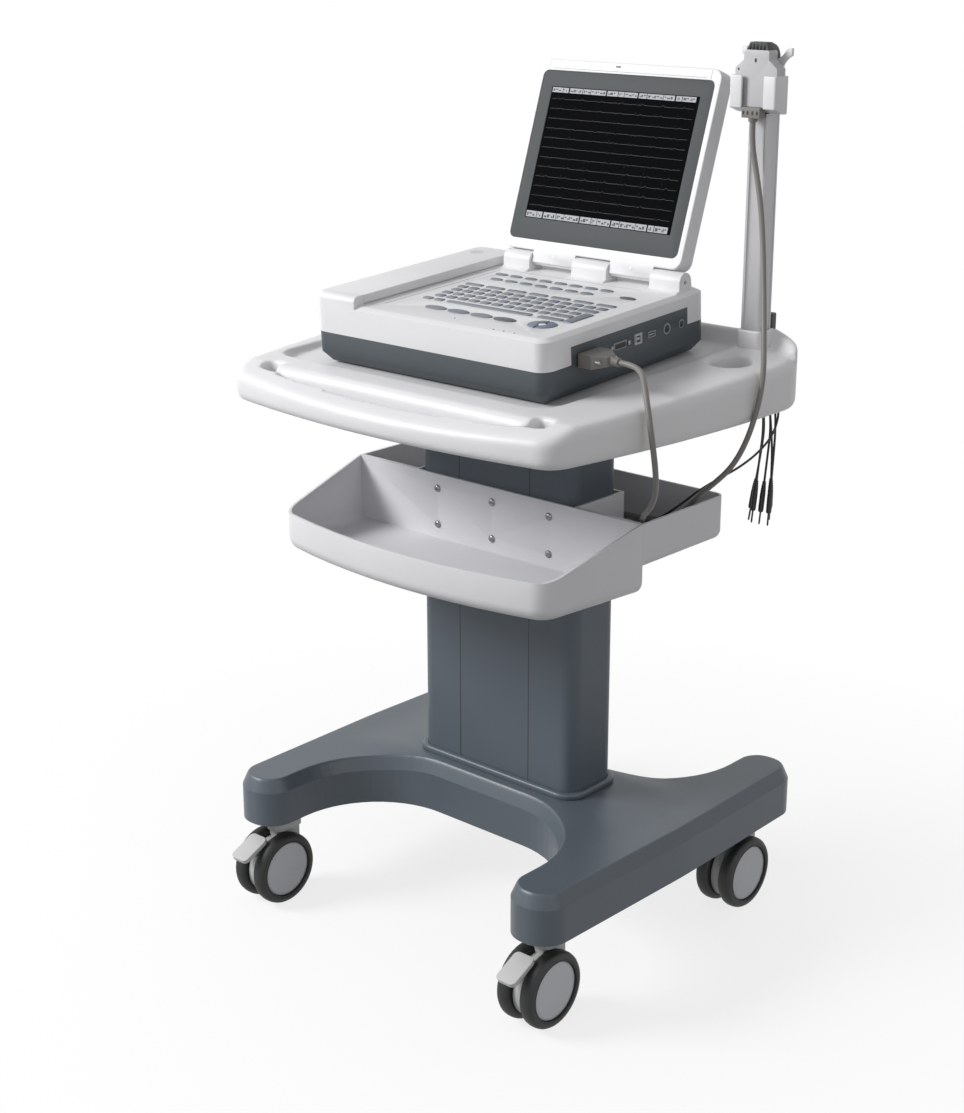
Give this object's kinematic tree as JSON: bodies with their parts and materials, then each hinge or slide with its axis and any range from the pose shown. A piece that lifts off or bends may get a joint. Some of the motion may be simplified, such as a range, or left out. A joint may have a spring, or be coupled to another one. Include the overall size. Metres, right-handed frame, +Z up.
{
  "type": "ecg machine on trolley",
  "caption": "ECG recorder with tilting screen lid on a castored trolley with tray, bins, accessory post, data cable and hanging patient leads.",
  "frame": {"origin": "on the floor, under the middle of the box of the trolley and all it carries, without its cords", "axes": "+Z up, the user stands at -Y, +X to the user's right"},
  "size_m": [0.6234, 0.5672, 1.1525],
  "materials": {
    "cover_slate": "matt",
    "frame_steel": "matt",
    "column_slate": "matt",
    "collar_slate": "matt",
    "tray_white": "matt",
    "plate_grey": "matt",
    "bin_white": "matt",
    "screw_steel": "matt",
    "post_alu": "matt",
    "bracket_white": "matt",
    "box_grey": "matt",
    "connector_dark": "matt",
    "castor_grey": "matt",
    "hub_grey": "matt",
    "tyre_black": "matt",
    "recorder_dark": "matt",
    "recorder_white": "matt",
    "socket_black": "matt",
    "door_white": "matt",
    "platen_rubber": "matt",
    "paper": "matt",
    "board_green": "matt",
    "battery_grey": "matt",
    "foot_rubber": "matt",
    "key_grey": "matt",
    "nav_blue": "matt",
    "lid_white": "matt",
    "bezel_dark": "matt",
    "screen_black": "matt",
    "pin_steel": "matt",
    "cable_grey": "matt",
    "plug_grey": "matt",
    "lead_grey": "matt",
    "lead_black": "matt"
  },
  "bodies": {
    "trolley": {"castor_stems": "pin_steel", "hinge_pins": "pin_steel", "base_cover": "cover_slate", "base_frame": "frame_steel", "column_core": "frame_steel", "column_panels": "column_slate", "column_collar": "collar_slate", "tray": "tray_white", "tray_plate": "plate_grey", "front_bin": "bin_white", "rear_bin": "bin_white", "bin_screws": "screw_steel", "post": "post_alu", "post_socket": "bracket_white", "holder_bracket": "bracket_white", "hook_plate": "bracket_white", "acquisition_case": "box_grey", "lead_connector": "connector_dark", "recorder_base": "recorder_dark", "recorder_deck": "recorder_white", "port_sockets": "socket_black", "recorder_feet": "foot_rubber", "main_board": "board_green", "battery": "battery_grey", "paper_roll": "paper", "data_plugs": "plug_grey", "data_cable": "cable_grey", "lead_trunk": "lead_grey", "lead_yoke": "lead_grey", "lead_wire_1": "lead_grey", "lead_wire_2": "lead_grey", "lead_wire_3": "lead_grey", "lead_wire_4": "lead_grey", "lead_wire_5": "lead_grey", "lead_wire_6": "lead_grey", "lead_plugs": "lead_black"},
    "castor_front_left": {"castor_housing_front_left": "castor_grey"},
    "wheels_front_left": {"castor_hubs_front_left": "hub_grey", "castor_tyres_front_left": "tyre_black"},
    "castor_front_right": {"castor_housing_front_right": "castor_grey"},
    "wheels_front_right": {"castor_hubs_front_right": "hub_grey", "castor_tyres_front_right": "tyre_black"},
    "castor_rear_left": {"castor_housing_rear_left": "castor_grey"},
    "wheels_rear_left": {"castor_hubs_rear_left": "hub_grey", "castor_tyres_rear_left": "tyre_black"},
    "castor_rear_right": {"castor_housing_rear_right": "castor_grey"},
    "wheels_rear_right": {"castor_hubs_rear_right": "hub_grey", "castor_tyres_rear_right": "tyre_black"},
    "pedal_front_left": {"brake_pedal_front_left": "castor_grey"},
    "pedal_front_right": {"brake_pedal_front_right": "castor_grey"},
    "lid": {"lid_back": "lid_white", "lid_bezel": "bezel_dark", "lcd_panel": "screen_black"},
    "paper_door": {"printer_door": "door_white"},
    "platen": {"platen_roller": "platen_rubber"},
    "function_keys": {"function_keys": "key_grey"},
    "letter_keys": {"letter_keys": "key_grey"},
    "menu_keys": {"menu_keys": "key_grey"},
    "nav_pad": {"nav_pad": "nav_blue"},
    "power_key": {"power_key": "key_grey"}
  },
  "joints": [
    {"name": "swivel_front_left", "type": "hinge", "parent": "trolley", "child": "castor_front_left", "pos_m": [-0.24, -0.19039, 0.1], "axis": [0, 0, 1], "continuous": true},
    {"name": "wheel_spin_front_left", "type": "hinge", "parent": "castor_front_left", "child": "wheels_front_left", "pos_m": [-0.24, -0.21739, 0.05], "axis": [1, 0, 0], "continuous": true},
    {"name": "brake_front_left", "type": "hinge", "parent": "castor_front_left", "child": "pedal_front_left", "pos_m": [-0.24, -0.23639, 0.083], "axis": [1, 0, 0], "range_deg": [0, 9]},
    {"name": "swivel_front_right", "type": "hinge", "parent": "trolley", "child": "castor_front_right", "pos_m": [0.24, -0.19039, 0.1], "axis": [0, 0, 1], "continuous": true},
    {"name": "wheel_spin_front_right", "type": "hinge", "parent": "castor_front_right", "child": "wheels_front_right", "pos_m": [0.24, -0.21739, 0.05], "axis": [1, 0, 0], "continuous": true},
    {"name": "brake_front_right", "type": "hinge", "parent": "castor_front_right", "child": "pedal_front_right", "pos_m": [0.24, -0.23639, 0.083], "axis": [1, 0, 0], "range_deg": [0, 9]},
    {"name": "swivel_rear_left", "type": "hinge", "parent": "trolley", "child": "castor_rear_left", "pos_m": [-0.24, 0.22161, 0.1], "axis": [0, 0, 1], "continuous": true},
    {"name": "wheel_spin_rear_left", "type": "hinge", "parent": "castor_rear_left", "child": "wheels_rear_left", "pos_m": [-0.24, 0.19461, 0.05], "axis": [1, 0, 0], "continuous": true},
    {"name": "swivel_rear_right", "type": "hinge", "parent": "trolley", "child": "castor_rear_right", "pos_m": [0.24, 0.22161, 0.1], "axis": [0, 0, 1], "continuous": true},
    {"name": "wheel_spin_rear_right", "type": "hinge", "parent": "castor_rear_right", "child": "wheels_rear_right", "pos_m": [0.24, 0.19461, 0.05], "axis": [1, 0, 0], "continuous": true},
    {"name": "lid_hinge", "type": "hinge", "parent": "trolley", "child": "lid", "pos_m": [0, 0.13544, 0.8608], "axis": [-1, 0, 0], "range_deg": [-112, 20]},
    {"name": "paper_door_hinge", "type": "hinge", "parent": "trolley", "child": "paper_door", "pos_m": [-0.133, 0.01065, 0.84375], "axis": [0, 0.9981, 0.061], "range_deg": [0, 60]},
    {"name": "platen_spin", "type": "hinge", "parent": "trolley", "child": "platen", "pos_m": [-0.188, 0.01171, 0.82648], "axis": [0, 0.9981, 0.061], "continuous": true},
    {"name": "function_keys_press", "type": "slide", "parent": "trolley", "child": "function_keys", "axis": [0, 0.061, -0.9981], "range_m": [0, 0.001], "stiffness_N_per_m": 800, "springref_m": -0.0005},
    {"name": "letter_keys_press", "type": "slide", "parent": "trolley", "child": "letter_keys", "axis": [0, 0.061, -0.9981], "range_m": [0, 0.001], "stiffness_N_per_m": 1500, "springref_m": -0.0006},
    {"name": "menu_keys_press", "type": "slide", "parent": "trolley", "child": "menu_keys", "axis": [0, 0.061, -0.9981], "range_m": [0, 0.001], "stiffness_N_per_m": 300, "springref_m": -0.0005},
    {"name": "nav_pad_press", "type": "slide", "parent": "trolley", "child": "nav_pad", "axis": [0, 0.061, -0.9981], "range_m": [0, 0.001], "stiffness_N_per_m": 300, "springref_m": -0.0005},
    {"name": "power_key_press", "type": "slide", "parent": "trolley", "child": "power_key", "axis": [0, 0.061, -0.9981], "range_m": [0, 0.001], "stiffness_N_per_m": 120, "springref_m": -0.0005}
  ]
}
